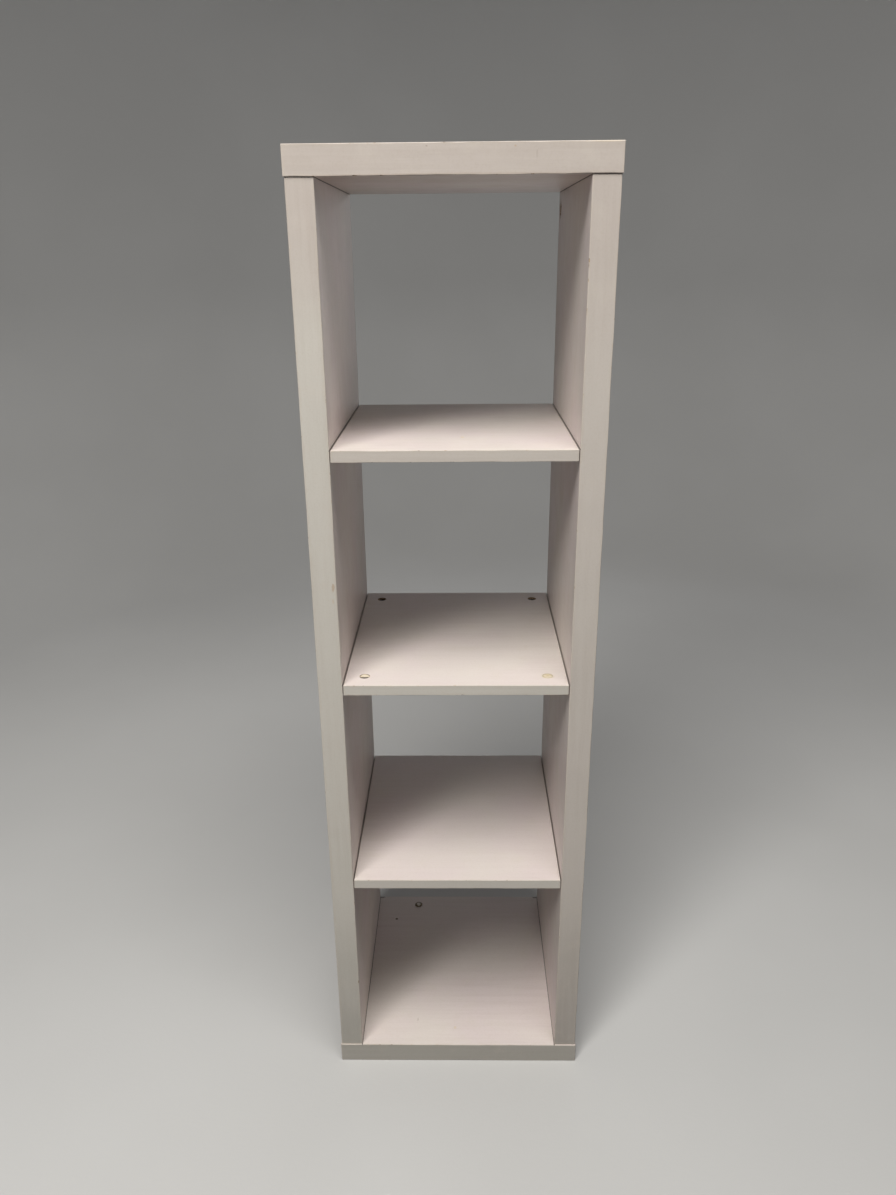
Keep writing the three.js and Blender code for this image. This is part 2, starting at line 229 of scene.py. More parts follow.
def foil_material(name, low, high, grain_axis, band, marks=()):
    """Satin foil with a faint printed grain, uneven yellowing, rubbed edges and the marks of use.

    band is the colour of the strip glued on the front and rear edges. It turns rosier near the top, and
    painted shade darkens it towards the floor. marks are (place, half sizes, colour, strength); some of
    them are painted shade.
    """
    nodes = Nodes(name)
    along, across = 5.0, 120.0
    grain_scales = [along if axis == grain_axis else across for axis in range(3)]
    grain = nodes.noise(nodes.stretched(grain_scales), 1.0, detail=5.0, roughness=0.62)
    fine_scales = [40.0 if axis == grain_axis else 900.0 for axis in range(3)]
    fine = nodes.noise(nodes.stretched(fine_scales), 1.0, detail=2.0)
    clouds = nodes.noise(nodes.place, 5.5, detail=3.0, roughness=0.55)
    patches = nodes.noise(nodes.place, 26.0, detail=4.0, roughness=0.6)
    pores = nodes.noise(nodes.place, 1900.0, detail=1.0)

    colour = nodes.mix(nodes.fade(clouds, 0.35, 0.68), FOIL, FOIL_ROSE)
    height = nodes.math("MULTIPLY_ADD", clouds, 0.3, nodes.math("SUBTRACT", nodes.height, 0.15))
    band_colour = nodes.mix(nodes.fade(height, ROSY_FROM, ROSY_FULL), band, BAND_ROSE)
    # painted shade: the edge band darkens towards the floor
    floor_shade_share = nodes.fade(height, PAINTED_SHADE_TOP, 0.0)
    band_colour = nodes.mix(floor_shade_share, band_colour, LOW_BAND_PAINTED_SHADE, "MULTIPLY")
    edge_band = front_or_rear(nodes, low, high)
    colour = nodes.mix(nodes.math("MULTIPLY", edge_band, 0.9), colour, band_colour)
    colour = nodes.mix(nodes.fade(patches, 0.5, 0.78, 0.0, 0.35), colour, FOIL_AGED)
    faintness = nodes.fade(nodes.noise(nodes.place, 4.0, detail=1.0), 0.35, 0.65, 0.12, 0.42)
    grain_share = nodes.math("MULTIPLY", nodes.fade(grain, 0.35, 0.7), faintness)
    colour = nodes.mix(grain_share, colour, GRAIN_SHADE, "MULTIPLY")
    colour = nodes.mix(nodes.fade(fine, 0.35, 0.8, 0.0, 0.25), colour, FINE_GRAIN_SHADE, "MULTIPLY")
    mottle = nodes.noise(nodes.place, 320.0, detail=3.0, roughness=0.7)
    colour = nodes.mix(nodes.fade(mottle, 0.45, 0.75, 0.0, 0.4), colour, MOTTLE_SHADE, "MULTIPLY")

    edge = edge_distance(nodes, low, high)
    rub = nodes.noise(nodes.place, 75.0, detail=4.0, roughness=0.65)
    reach = nodes.math("MULTIPLY_ADD", rub, 10 * MM, -3.5 * MM)
    near_edge = nodes.fade(nodes.math("SUBTRACT", edge, reach), 2.2 * MM, 0.0)
    colour = nodes.mix(nodes.math("MULTIPLY", near_edge, 0.28), colour, RUBBED_EDGE)
    scuffs = nodes.noise(nodes.place, 210.0, detail=3.0, roughness=0.7)
    scuff_reach = nodes.math("MULTIPLY", nodes.fade(scuffs, 0.56, 0.72), nodes.fade(edge, 1.8 * MM, 0.0))
    colour = nodes.mix(nodes.math("MULTIPLY", scuff_reach, 0.6), colour, CHIP_LIGHT)

    streaks = [160.0, 160.0, 160.0]
    streaks[grain_axis] = 14.0
    scratch_noise = nodes.noise(nodes.stretched(streaks), 1.0, detail=2.0, distortion=0.6)
    scratch = nodes.fade(nodes.math("ABSOLUTE", nodes.math("SUBTRACT", scratch_noise, 0.5)), 0.006, 0.0)
    scratch_zone = nodes.fade(nodes.noise(nodes.place, 11.0, detail=1.0), 0.62, 0.7)
    scratches = nodes.math("MULTIPLY", scratch, scratch_zone)
    colour = nodes.mix(nodes.math("MULTIPLY", scratches, 0.12), colour, GRIME)

    for at, size, mark_colour, strength in marks:
        colour = nodes.mix(nodes.math("MULTIPLY", spot(nodes, at, size), strength), colour, mark_colour)

    roughness = nodes.fade(patches, 0.3, 0.7, 0.4, 0.54)
    relief = nodes.bump(pores, 0.02 * MM)
    relief = nodes.bump(grain, 0.18 * MM, relief)
    relief = nodes.bump(clouds, 1.6 * MM, relief)
    relief = nodes.bump(nodes.math("MULTIPLY", scratches, -1.0), 0.02 * MM, relief)
    return nodes.finish(colour, roughness, relief)


def chipboard_material():
    """The raw board that shows in drilled holes, chips and the torn pocket."""
    nodes = Nodes("raw_chipboard")
    flakes = nodes.cells(nodes.stretched((1.0, 1.0, 1.7)), 520.0)
    flake_tone = nodes.math("FRACT", nodes.math("MULTIPLY", flakes.outputs["Color"], 3.7))
    dust = nodes.noise(nodes.place, 900.0, detail=3.0)
    colour = nodes.mix(nodes.fade(flake_tone, 0.15, 0.85), CHIP_LIGHT, CHIP_DARK)
    colour = nodes.mix(nodes.fade(dust, 0.5, 0.75, 0.0, 0.4), colour, CHIP_DUST)
    relief = nodes.bump(flakes.outputs["Distance"], 0.5 * MM)
    relief = nodes.bump(dust, 0.2 * MM, relief)
    return nodes.finish(colour, 0.85, relief)


def metal_material(name, light, dark, roughness, grain_scale):
    """Plated or cast metal: cloudy tone, fine turning marks and a little dirt."""
    nodes = Nodes(name)
    clouds = nodes.noise(nodes.place, 240.0, detail=4.0, roughness=0.6)
    marks = nodes.noise(nodes.place, grain_scale, detail=2.0)
    dirt = nodes.noise(nodes.place, 700.0, detail=5.0, roughness=0.7)
    colour = nodes.mix(nodes.fade(clouds, 0.3, 0.7), light, dark)
    colour = nodes.mix(nodes.fade(dirt, 0.6, 0.75, 0.0, 0.5), colour, GRIME)
    rough = nodes.fade(clouds, 0.25, 0.75, roughness, roughness + 0.18)
    relief = nodes.bump(marks, 0.03 * MM)
    return nodes.finish(colour, rough, relief, metallic=1.0)


def beech_material():
    """Turned beech with its fibre and short dark rays along Z."""
    nodes = Nodes("beech")
    fibre = nodes.noise(nodes.stretched((900.0, 900.0, 40.0)), 1.0, detail=4.0, roughness=0.65)
    rays = nodes.noise(nodes.stretched((1500.0, 1500.0, 260.0)), 1.0, detail=1.0)
    colour = nodes.mix(nodes.fade(fibre, 0.3, 0.72), (0.62, 0.43, 0.26), (0.47, 0.3, 0.165))
    colour = nodes.mix(nodes.fade(rays, 0.62, 0.72, 0.0, 0.5), colour, (0.3, 0.17, 0.09))
    relief = nodes.bump(fibre, 0.1 * MM)
    return nodes.finish(colour, 0.68, relief)


def cap_material(name, tone, rim_centre, rim_radius, rim_share, near_rim_shadow_share):
    """Old white plastic, yellowed, with dirt at the rim and a painted shadow of the hole's near rim over
    its front half, by the two shares.
    """
    nodes = Nodes(name)
    clouds = nodes.noise(nodes.place, 300.0, detail=3.0)
    offset = nodes.vector("SUBTRACT", nodes.place, rim_centre)
    radius = nodes.vector("LENGTH", nodes.vector("MULTIPLY", offset, Vector((1.0, 1.0, 0.0))))
    wobble = nodes.math("MULTIPLY_ADD", clouds, 3 * MM, -1.5 * MM)
    rim = nodes.fade(nodes.math("ADD", radius, wobble), rim_radius * 0.62, rim_radius)
    yellowed = tuple(value * factor for value, factor in zip(tone, (0.86, 0.78, 0.58)))
    colour = nodes.mix(nodes.fade(clouds, 0.3, 0.75), tone, yellowed)
    colour = nodes.mix(nodes.math("MULTIPLY", rim, rim_share), colour, CAP_DIRT)
    # painted shadow of the hole's near rim, over the cap's front half
    to_front = nodes.math("SUBTRACT", rim_centre.y, nodes.math("ADD", nodes.depth, wobble))
    near_rim_painted_shadow = nodes.fade(to_front, rim_radius * -0.15, rim_radius * 0.2, 0.0, near_rim_shadow_share)
    colour = nodes.mix(near_rim_painted_shadow, colour, DARK_PAINTED_SHADE)
    relief = nodes.bump(nodes.noise(nodes.place, 1500.0, detail=2.0), 0.03 * MM)
    return nodes.finish(colour, 0.42, relief)


# ---- meshes ----


def new_object(name, mesh, *materials):
    piece = bpy.data.objects.new(name, mesh)
    bpy.context.scene.collection.objects.link(piece)
    for material in materials:
        mesh.materials.append(material)
    return piece


def mesh_of(bm, name):
    mesh = bpy.data.meshes.new(name)
    bmesh.ops.recalc_face_normals(bm, faces=bm.faces)
    bm.to_mesh(mesh)
    bm.free()
    return mesh


def turned_bmesh(profile, segments, shape=None):
    """A solid of revolution round +Z. The profile is [radius, height] from one end of the axis to the
    other. shape(radius, height, angle) may change a ring's radius round the axis."""
    bm = bmesh.new()
    rings = []
    for radius, height in profile:
        if radius == 0.0:
            rings.append([bm.verts.new((0.0, 0.0, height))])
            continue
        ring = []
        for step in range(segments):
            angle = math.tau * step / segments
            local = shape(radius, height, angle) if shape else radius
            ring.append(bm.verts.new((local * math.cos(angle), local * math.sin(angle), height)))
        rings.append(ring)
    for lower, upper in zip(rings, rings[1:]):
        for step in range(segments):
            following = (step + 1) % segments
            corners = [
                lower[step % len(lower)],
                lower[following % len(lower)],
                upper[following % len(upper)],
                upper[step % len(upper)],
            ]
            unique = list(dict.fromkeys(corners))
            if len(unique) > 2:
                bm.faces.new(unique)
    return bm


def turn_to(bm, at, direction):
    """Moves a mesh made round +Z so that +Z runs along direction from the place at."""
    turn = Vector(UP).rotation_difference(Vector(direction)).to_matrix().to_4x4()
    bm.transform(Matrix.Translation(at) @ turn)
    return bm


def turned(name, profile, at, direction, segments=48, shape=None):
    return mesh_of(turn_to(turned_bmesh(profile, segments, shape), at, direction), name)


def rod(radius, length, at, direction, segments=48):
    profile = [(0.0, 0.0), (radius, 0.0), (radius, length), (0.0, length)]
    return turned("rod", profile, at, direction, segments)


def block(low, high):
    bm = bmesh.new()
    bmesh.ops.create_cube(bm, size=1.0)
    size = Vector(high) - Vector(low)
    centre = (Vector(high) + Vector(low)) / 2
    bm.transform(Matrix.Translation(centre) @ Matrix.Diagonal((*size, 1.0)))
    return mesh_of(bm, "block")


def sector(radius, start, end, low, high, steps=24):
    """A slice of a disc round +Z between two angles, from the height low to high."""
    bm = bmesh.new()
    angles = [start + (end - start) * step / steps for step in range(steps + 1)]
    rim = [(radius * math.cos(angle), radius * math.sin(angle)) for angle in angles]
    outline = [(0.0, 0.0), *rim]
    bottom = [bm.verts.new((x, y, low)) for x, y in outline]
    top = [bm.verts.new((x, y, high)) for x, y in outline]
    bm.faces.new(reversed(bottom))
    bm.faces.new(top)
    for step in range(len(outline)):
        following = (step + 1) % len(outline)
        bm.faces.new((bottom[step], bottom[following], top[following], top[step]))
    return mesh_of(bm, "sector")


def carve(piece, cutters, inside=None):
    """Cuts the cutter meshes out of a piece. The cut faces take the inside material."""
    helpers = []
    for number, cutter in enumerate(cutters):
        helper = bpy.data.objects.new(f"cutter_{number}", cutter)
        bpy.context.scene.collection.objects.link(helper)
        if inside:
            cutter.materials.append(inside)
        modifier = piece.modifiers.new(f"cut_{number}", "BOOLEAN")
        modifier.operation = "DIFFERENCE"
        modifier.solver = "EXACT"
        modifier.object = helper
        if inside:
            modifier.material_mode = "TRANSFER"
        helpers.append(helper)
    settle(piece)
    for helper in helpers:
        bpy.data.objects.remove(helper)


def settle(piece):
    """Makes what the modifiers show the piece's own mesh, and removes them."""
    shown = piece.evaluated_get(bpy.context.evaluated_depsgraph_get())
    mesh = bpy.data.meshes.new_from_object(shown)
    piece.modifiers.clear()
    piece.data = mesh


def smooth(piece, degrees=32.0):
    for face in piece.data.polygons:
        face.use_smooth = True
    piece.data.set_sharp_from_angle(angle=math.radians(degrees))


def stand_for(piece, node, body):
    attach(piece, body)
    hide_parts(node)


# ---- boards ----

ARRIS = 0.9 * MM
SHELF_ARRIS = 0.55 * MM
ARRIS_STEP = 14 * MM


def worn_board_mesh(name, low, high, arris):
    """A board whose rounded edges are worn unevenly: their radius wanders along each edge."""
    size = high - low
    bm = bmesh.new()
    bmesh.ops.create_cube(bm, size=1.0)
    bm.transform(Matrix.Translation((low + high) / 2) @ Matrix.Diagonal((*size, 1.0)))
    bmesh.ops.bevel(
        bm,
        geom=list(bm.edges),
        offset=arris,
        offset_type="OFFSET",
        segments=3,
        profile=0.5,
        affect="EDGES",
    )
    for axis in range(3):
        cuts = int(size[axis] / ARRIS_STEP)
        normal = Vector([1.0 if other == axis else 0.0 for other in range(3)])
        for cut in range(1, cuts):
            place = low + normal * (size[axis] * cut / cuts)
            everything = [*bm.verts, *bm.edges, *bm.faces]
            bmesh.ops.bisect_plane(bm, geom=everything, plane_co=place, plane_no=normal)
    reach = arris * 1.01
    for vertex in bm.verts:
        gaps = [(min(vertex.co[a] - low[a], high[a] - vertex.co[a]), a) for a in range(3)]
        close = [(gap, axis) for gap, axis in gaps if gap < reach]
        if len(close) < 2:
            continue
        wander = noise.noise(vertex.co * 23.0) + 0.6 * noise.noise(vertex.co * 95.0)
        scale = max(0.45, 1.0 + 1.1 * wander)
        for gap, axis in close:
            side = 1.0 if vertex.co[axis] - low[axis] < size[axis] / 2 else -1.0
            vertex.co[axis] += side * gap * (scale - 1.0)
    return mesh_of(bm, name)


def chip(at, size, seed):
    """A ragged lump that takes a chip out of a board's edge."""
    draw = random.Random(seed)
    bm = bmesh.new()
    bmesh.ops.create_icosphere(bm, subdivisions=2, radius=1.0)
    for vertex in bm.verts:
        vertex.co *= draw.uniform(0.72, 1.12)
    turn = Euler([draw.uniform(-0.15, 0.15) for _ in range(3)]).to_matrix().to_4x4()
    bm.transform(Matrix.Translation(at) @ turn @ Matrix.Diagonal((*size, 1.0)))
    return mesh_of(bm, "chip")


raw_chipboard = chipboard_material()


def board(node, body, grain_axis, arris, band, holes=(), chips=(), marks=()):
    """Replaces a CAD board with one that has worn edges, holes with raw walls, chips and marks."""
    low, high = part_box(node)
    material = foil_material(f"foil_{node}", low, high, grain_axis, band, marks)
    piece = new_object(f"fine_{node}", worn_board_mesh(node, low, high, arris), material)
    carve(piece, [*holes, *chips], inside=raw_chipboard)
    stand_for(piece, node, body)


X_GRAIN, Z_GRAIN = 0, 2
SPARE = 1 * MM
FIT = 0.3 * MM

top_low, top_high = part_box("top_panel")
bottom_low, bottom_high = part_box("bottom_panel")
left_low, left_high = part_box("left_side_panel")
right_low, right_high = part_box("right_side_panel")
lower_low, lower_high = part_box("lower_shelf")
middle_low, middle_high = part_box("middle_shelf")
upper_low, upper_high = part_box("upper_shelf")

SIDE_NAMES = ("left", "right")
END_NAMES = ("front", "rear")
SIDE_SIGNS = {"left": -1.0, "right": 1.0}


def centre_of(node):
    low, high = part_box(node)
    return (low + high) / 2


SCREW_HEAD_HEIGHT = 3.8 * MM
SCREW_SHANK = 3.4 * MM
DOWEL_RADIUS = 4 * MM
CAM_HOLE_DEPTH = 13 * MM
CAM_RADIUS = 7.4 * MM
BOLT_HOLE_RADIUS = 4 * MM
PIN_FLAT_HEIGHT = 2.6 * MM
PIN_STEM_RADIUS = 2.5 * MM
PIN_STEM_LENGTH = 10 * MM
PIN_HEAD_RADIUS = 3.5 * MM
BOLT_THREAD_RADIUS = 3 * MM
BOLT_THREAD_LENGTH = 12 * MM


def corner_holes(board_name):
    """The screw and dowel holes of the corner joints, for the end boards and for the sides."""
    holes = []
    for end_board, inward in (("bottom", 1.0), ("top", -1.0)):
        for side_name in SIDE_NAMES:
            if board_name not in (end_board, side_name):
                continue
            direction = (0.0, 0.0, inward)
            for end_name in END_NAMES:
                joint = f"{end_board}_{side_name}_{end_name}"
                low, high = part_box(f"corner_screw_{joint}")
                centre = (low + high) / 2
                outer = low.z if inward > 0 else high.z
                start = Vector((centre.x, centre.y, outer - inward * SPARE))
                length = high.z - low.z + 2 * SPARE
                head_radius = (high.x - low.x) / 2 + FIT
                head_depth = SCREW_HEAD_HEIGHT + FIT + SPARE
                holes.append(rod(SCREW_SHANK + FIT, length, start, direction))
                holes.append(rod(head_radius, head_depth, start, direction))
                dowel_low, dowel_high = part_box(f"dowel_{joint}")
                dowel_centre = (dowel_low + dowel_high) / 2
                dowel_start = Vector((dowel_centre.x, dowel_centre.y, dowel_low.z - SPARE))
                dowel_length = dowel_high.z - dowel_low.z + 2 * SPARE
                holes.append(rod(DOWEL_RADIUS + FIT, dowel_length, dowel_start, UP))
    return holes


def side_holes(side_name):
    """The holes for shelf pins and cam bolts in a side's inner face."""
    outward = SIDE_SIGNS[side_name]
    inner_x = left_high.x if side_name == "left" else right_low.x
    mouth_x = inner_x - outward * SPARE
    holes = []
    for shelf_name in ("lower", "upper"):
        for end_name in END_NAMES:
            low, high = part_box(f"pin_{shelf_name}_{side_name}_{end_name}")
            stem_z = high.z - PIN_FLAT_HEIGHT
            place = (mouth_x, (low.y + high.y) / 2, stem_z)
            length = PIN_STEM_LENGTH + 2 * SPARE
            holes.append(rod(PIN_STEM_RADIUS + FIT, length, place, (outward, 0.0, 0.0)))
    for end_name in END_NAMES:
        centre = centre_of(f"cam_bolt_{end_name}_{side_name}")
        place = (mouth_x, centre.y, centre.z)
        length = BOLT_THREAD_LENGTH + 2 * SPARE
        holes.append(rod(BOLT_THREAD_RADIUS + FIT, length, place, (outward, 0.0, 0.0)))
    return holes


def edge_chips(start, end, count, size, seed):
    """Small chips scattered along an edge from start to end."""
    draw = random.Random(seed)
    chips = []
    for number in range(count):
        at = Vector(start).lerp(Vector(end), draw.random())
        spread = Vector(size) * draw.uniform(0.5, 1.25)
        chips.append(chip(at, spread, seed * 100 + number))
    return chips


def side_seams(height):
    """Painted shade along the two lines where an end board meets the inner faces of the sides."""
    seams = []
    for x in (left_high.x, right_low.x):
        seams.append(((x, 0.0, height), (1.1 * MM, 0.4, 1.1 * MM), DARK_PAINTED_SHADE, 0.8))
    return seams


def edge_chips_across(low, high, z, count, size, seed):
    """Chips along a board's front edge at the height z."""
    return edge_chips((low.x, low.y, z), (high.x, low.y, z), count, size, seed)


def edge_chips_up(x, low, high, count, size, seed):
    """Chips along a side's front edge at x."""
    return edge_chips((x, low.y, low.z), (x, low.y, high.z), count, size, seed)


front_y = top_low.y
seam_z = top_low.z

top_chips = [
    chip(Vector((-119 * MM, front_y, seam_z)), (3.6 * MM, 1.4 * MM, 1.3 * MM), 1),
    chip(Vector((-86 * MM, front_y, seam_z)), (3.0 * MM, 1.2 * MM, 1.1 * MM), 2),
    chip(Vector((96 * MM, front_y, seam_z)), (2.6 * MM, 1.1 * MM, 1.0 * MM), 3),
    *edge_chips_across(top_low, top_high, seam_z, 7, (1.6 * MM, 0.6 * MM, 0.6 * MM), 11),
    *edge_chips_across(top_low, top_high, top_high.z, 5, (2.2 * MM, 0.5 * MM, 0.5 * MM), 12),
]
top_marks = [
    *side_seams(top_low.z),
    ((-31 * MM, front_y, top_high.z - 4 * MM), (1.5 * MM, 2 * MM, 1.1 * MM), GRIME, 0.6),
    ((75 * MM, front_y, top_high.z - 5 * MM), (1.6 * MM, 2 * MM, 1.2 * MM), CHIP_LIGHT, 0.6),
    ((101 * MM, front_y, top_high.z - 14 * MM), (1.2 * MM, 2 * MM, 6 * MM), GRIME, 0.25),
    ((185 * MM, front_y, top_high.z), (24 * MM, 4 * MM, 2.4 * MM), YELLOWED_ARRIS, 0.4),
    # painted shade on the underside of the top, and along its rear edge underneath
    ((0.0, front_y, seam_z), (0.25, 0.16, 3 * MM), UNDERSIDE_PAINTED_SHADE, 0.4),
    ((0.0, top_high.y, seam_z), (0.3, 9 * MM, 5 * MM), REAR_PAINTED_SHADE, 0.5),
]
board(
    "top_panel", "case", X_GRAIN, ARRIS, BAND_ROSE, corner_holes("top"), top_chips, top_marks
)

PILOT_X = -129 * MM
PILOT_FROM_REAR = 70 * MM
PILOT_RADIUS = 1.8 * MM
PILOT_LENGTH = 19 * MM
REAR_SHADE_FROM_END = 42 * MM
added_centre = centre_of("added_washer")
pilot_at = (PILOT_X, bottom_high.y - PILOT_FROM_REAR, bottom_high.z + SPARE)
added_hole_start = (added_centre.x, added_centre.y, bottom_high.z + SPARE)
ADDED_SHANK = 2 * MM
ADDED_LENGTH = 26 * MM
bottom_holes = [
    *corner_holes("bottom"),
    rod(ADDED_SHANK + FIT, ADDED_LENGTH + 2 * SPARE, added_hole_start, DOWN),
    rod(PILOT_RADIUS, PILOT_LENGTH, pilot_at, DOWN),
]
bottom_chips = [
    *edge_chips_across(bottom_low, bottom_high, bottom_high.z, 6, (2.0 * MM, 0.6 * MM, 0.6 * MM), 21),
    *edge_chips_across(bottom_low, bottom_high, bottom_low.z, 8, (2.6 * MM, 0.8 * MM, 0.7 * MM), 22),
]
bottom_marks = [
    *side_seams(bottom_high.z),
    ((-73 * MM, -139 * MM, bottom_high.z), (1.2 * MM, 5 * MM, 2 * MM), GRIME, 0.5),
    ((-5.6 * MM, -157 * MM, bottom_high.z), (3 * MM, 3.5 * MM, 2 * MM), BOTTOM_SPOT, 0.45),
    # painted shade round the added washer and in the pilot hole
    ((added_centre.x, added_centre.y, bottom_high.z), (9.5 * MM, 9.5 * MM, 2 * MM), DARK_PAINTED_SHADE, 0.75),
    ((PILOT_X, pilot_at[1], bottom_high.z), (3.2 * MM, 3.2 * MM, 2 * MM), DARK_PAINTED_SHADE, 0.95),
]
# painted shade in the rear inner corners, where the sides meet the bottom
for x in (bottom_low.x + REAR_SHADE_FROM_END, bottom_high.x - REAR_SHADE_FROM_END):
    rear_end = (x, bottom_high.y, bottom_high.z)
    bottom_marks.append((rear_end, (7 * MM, 6 * MM, 3 * MM), DARK_PAINTED_SHADE, 0.7))
board(
    "bottom_panel", "case", X_GRAIN, ARRIS, BAND_GREY, bottom_holes, bottom_chips, bottom_marks
)

TORN_FROM_REAR = 24 * MM
TORN_BELOW_TOP = 27 * MM
side_front = left_low.y
torn_at = Vector((right_low.x, right_high.y - TORN_FROM_REAR, right_high.z - TORN_BELOW_TOP))


def torn_pocket():
    """Where a fixing was pulled out of the right side: a ragged pocket with torn foil round it."""
    return [
        chip(torn_at, (4.5 * MM, 5.5 * MM, 11 * MM), 31),
        chip(torn_at + Vector((0.0, 4.5 * MM, -3 * MM)), (3.0 * MM, 5.0 * MM, 7 * MM), 32),
        chip(torn_at + Vector((0.0, -4.5 * MM, 4 * MM)), (2.4 * MM, 4.5 * MM, 6 * MM), 33),
    ]


def side_marks(inner_x, centre_x, top_seam_share):
    """Painted shade where the boards meet a side, and painted shade along its rear inner edge."""
    top_seam = (centre_x, side_front, left_high.z)
    marks = [(top_seam, (30 * MM, 4 * MM, 1.3 * MM), DARK_PAINTED_SHADE, top_seam_share)]
    for height in (left_low.z, lower_high.z, middle_high.z, upper_high.z, left_high.z):
        marks.append(((inner_x, 0.0, height), (1.0 * MM, 0.42, 1.1 * MM), DARK_PAINTED_SHADE, 0.75))
    marks.append(((inner_x, left_high.y, 0.75), (5 * MM, 7 * MM, 1.6), REAR_PAINTED_SHADE, 0.55))
    return marks


INNER_CHIP = (0.6 * MM, 0.6 * MM, 2.4 * MM)
OUTER_CHIP = (0.5 * MM, 0.5 * MM, 2.2 * MM)

left_chips = [
    chip(Vector((left_high.x, side_front, 176 * MM)), (1.3 * MM, 1.3 * MM, 4.2 * MM), 41),
    *edge_chips_up(left_high.x, left_low, left_high, 16, INNER_CHIP, 42),
    *edge_chips_up(left_low.x, left_low, left_high, 12, OUTER_CHIP, 43),
]
left_marks = [
    *side_marks(left_high.x, (left_low.x + left_high.x) / 2, 0.9),
    ((-173.5 * MM, side_front, 893 * MM), (2.6 * MM, 2 * MM, 7 * MM), STAIN, 0.6),
    ((-174.5 * MM, side_front, 872 * MM), (2.0 * MM, 2 * MM, 4 * MM), STAIN_PALE, 0.4),
]
left_holes = [*corner_holes("left"), *side_holes("left")]
board(
    "left_side_panel", "case", Z_GRAIN, ARRIS, BAND_GREY, left_holes, left_chips, left_marks
)

wear_start = (right_low.x, side_front, 1255 * MM)
wear_end = (right_low.x, side_front, 1322 * MM)
right_chips = [
    chip(Vector((right_low.x, side_front, 1326 * MM)), (1.6 * MM, 1.5 * MM, 3.0 * MM), 51),
    *edge_chips(wear_start, wear_end, 7, (1.0 * MM, 0.9 * MM, 5.0 * MM), 52),
    *edge_chips_up(right_low.x, right_low, right_high, 16, INNER_CHIP, 53),
    *edge_chips_up(right_high.x, right_low, right_high, 12, OUTER_CHIP, 54),
    *torn_pocket(),
]
right_marks = [
    *side_marks(right_low.x, (right_low.x + right_high.x) / 2, 0.75),
    (torn_at, (3 * MM, 13 * MM, 16 * MM), TORN_BOARD, 0.7),
]
right_holes = [*corner_holes("right"), *side_holes("right")]
board(
    "right_side_panel", "case", Z_GRAIN, ARRIS, BAND_PALE, right_holes, right_chips, right_marks
)


def shelf_edges(node, seed):
    """Chips along the two long front edges of a shelf."""
    low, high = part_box(node)
    size = (2.2 * MM, 0.5 * MM, 0.5 * MM)
    lower = edge_chips_across(low, high, low.z, 6, size, seed)
    upper = edge_chips_across(low, high, high.z, 4, size, seed + 1)
    return [*lower, *upper]


def end_painted_shade(low, high):
    """Painted shade along the two ends of a shelf's upper face."""
    return [((x, 0.0, high.z), (1.0 * MM, 0.42, 1.0 * MM), DARK_PAINTED_SHADE, 0.7) for x in (low.x, high.x)]


upper_marks = [
    *end_painted_shade(upper_low, upper_high),
    ((11 * MM, -103 * MM, upper_high.z), (3 * MM, 3 * MM, 2 * MM), SHELF_SPOT, 0.7),
]
upper_chips = shelf_edges("upper_shelf", 61)
board(
    "upper_shelf", "upper_shelf", X_GRAIN, SHELF_ARRIS, BAND_PALE, (), upper_chips, upper_marks
)
lower_chips = shelf_edges("lower_shelf", 71)
lower_marks = end_painted_shade(lower_low, lower_high)
board(
    "lower_shelf", "lower_shelf", X_GRAIN, SHELF_ARRIS, BAND_GREY, (), lower_chips, lower_marks
)


def cam_holes():
    """The middle shelf's round cam holes, and the bores that the bolts come in by."""
    holes = []
    for side_name in SIDE_NAMES:
        outward = SIDE_SIGNS[side_name]
        end_x = middle_high.x if outward > 0 else middle_low.x
        for end_name in END_NAMES:
            cam_centre = centre_of(f"cam_{end_name}_{side_name}")
            bolt_centre = centre_of(f"cam_bolt_{end_name}_{side_name}")
            mouth = (cam_centre.x, cam_centre.y, middle_high.z + SPARE)
            holes.append(rod(CAM_RADIUS + FIT, CAM_HOLE_DEPTH + SPARE, mouth, DOWN, 64))
            bore_start = (end_x + outward * SPARE, cam_centre.y, bolt_centre.z)
            bore_length = abs(end_x - cam_centre.x) + SPARE
            holes.append(rod(BOLT_HOLE_RADIUS, bore_length, bore_start, (-outward, 0.0, 0.0)))
    return holes


def cam_marks():
    """Yellowed, rubbed foil round the two front cam holes."""
    marks = end_painted_shade(middle_low, middle_high)
    for side_name, reach, strength in (("left", 10 * MM, 0.25), ("right", 12 * MM, 0.55)):
        centre = centre_of(f"cam_front_{side_name}")
        at = (centre.x, centre.y, middle_high.z)
        marks.append((at, (reach, reach * 0.85, 2 * MM), RUBBED_RING, strength))
    return marks


middle_chips = [
    chip(Vector((10.7 * MM, middle_low.y, middle_low.z)), (3.4 * MM, 1.2 * MM, 1.2 * MM), 81),
    *shelf_edges("middle_shelf", 82),
]
middle_holes = cam_holes()
middle_marks = cam_marks()
board(
    "middle_shelf",
    "case",
    X_GRAIN,
    SHELF_ARRIS,
    BAND_GREY,
    middle_holes,
    middle_chips,
    middle_marks,
)


# ---- fittings ----

steel = metal_material("zinc_plated_steel", (0.76, 0.73, 0.68), (0.5, 0.47, 0.43), 0.36, 1600.0)
tarnished_steel = metal_material("tarnished_steel", (0.3, 0.235, 0.15), (0.13, 0.095, 0.06), 0.5, 1200.0)
# cast zinc made near black: partly its dark oxide, partly painted shade of the deep cam holes it sits in
dark_zinc_with_painted_shade = metal_material("dark_cast_zinc_and_painted_shade", (0.16, 0.15, 0.14), (0.06, 0.055, 0.05), 0.5, 900.0)
beech = beech_material()

FINE_PITCH = 1.6 * MM
RINGS_PER_TURN = 5


